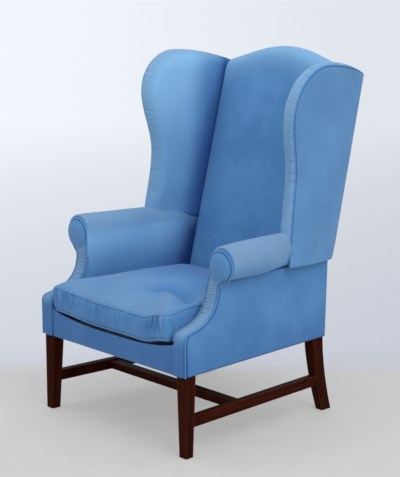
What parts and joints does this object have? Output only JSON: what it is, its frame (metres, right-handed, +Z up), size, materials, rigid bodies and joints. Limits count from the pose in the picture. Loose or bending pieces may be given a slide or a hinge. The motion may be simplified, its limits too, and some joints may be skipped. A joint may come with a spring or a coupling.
{
  "type": "wingback armchair",
  "caption": "Upholstered wingback armchair with scrolled arms, flared wings, a camel-crested back, a loose boxed seat cushion and dark wooden legs on an H stretcher.",
  "frame": {"origin": "on the floor, under the middle of the chair's outline", "axes": "+Z up, the chair faces -Y, +X is on the right of someone who looks at its front"},
  "size_m": [0.7764, 0.7876, 1.132],
  "materials": {
    "mahogany": "dark reddish mahogany stain under a satin lacquer",
    "beech": "planed bare beech",
    "blue_cloth": "mid-blue plain woven upholstery cloth over stuffing",
    "deck_cloth": "grey needled deck pad",
    "jute": "woven jute webbing",
    "spring_steel": "drawn spring wire",
    "cambric": "black cambric",
    "filling": "white cushion filling"
  },
  "bodies": {
    "chair": {"front_leg_left": "mahogany", "front_leg_right": "mahogany", "rear_leg_left": "mahogany", "rear_leg_right": "mahogany", "side_stretcher_left": "mahogany", "side_stretcher_right": "mahogany", "cross_stretcher": "mahogany", "front_seat_rail": "beech", "rear_seat_rail": "beech", "side_seat_rail_left": "beech", "side_seat_rail_right": "beech", "front_corner_block_left": "beech", "front_corner_block_right": "beech", "rear_corner_block_left": "beech", "rear_corner_block_right": "beech", "back_post_left": "beech", "back_post_right": "beech", "crest_rail": "beech", "stay_rail": "beech", "arm_post_left": "beech", "arm_post_right": "beech", "arm_rail_left": "beech", "arm_rail_right": "beech", "wing_post_left": "beech", "wing_post_right": "beech", "wing_rail_left": "beech", "wing_rail_right": "beech", "back_webbing": "jute", "seat_spring_1": "spring_steel", "seat_spring_2": "spring_steel", "seat_spring_3": "spring_steel", "seat_spring_4": "spring_steel", "seat_spring_5": "spring_steel", "seat_deck": "deck_cloth", "dust_cover": "cambric", "front_border": "blue_cloth", "arm_facing_left": "blue_cloth", "arm_facing_right": "blue_cloth", "arm_pad_left": "blue_cloth", "arm_pad_right": "blue_cloth", "outside_arm_left": "blue_cloth", "outside_arm_right": "blue_cloth", "inside_wing_left": "blue_cloth", "inside_wing_right": "blue_cloth", "outside_wing_left": "blue_cloth", "outside_wing_right": "blue_cloth", "inside_back": "blue_cloth", "outside_back": "blue_cloth"},
    "cushion": {"cushion_cover": "blue_cloth", "cushion_filling": "filling", "cushion_welt_bottom": "blue_cloth", "cushion_welt_top": "blue_cloth"}
  },
  "joints": [
    {"name": "cushion_lift", "type": "slide", "parent": "chair", "child": "cushion", "axis": [0, 0, 1], "range_m": [0, 0.25]}
  ]
}
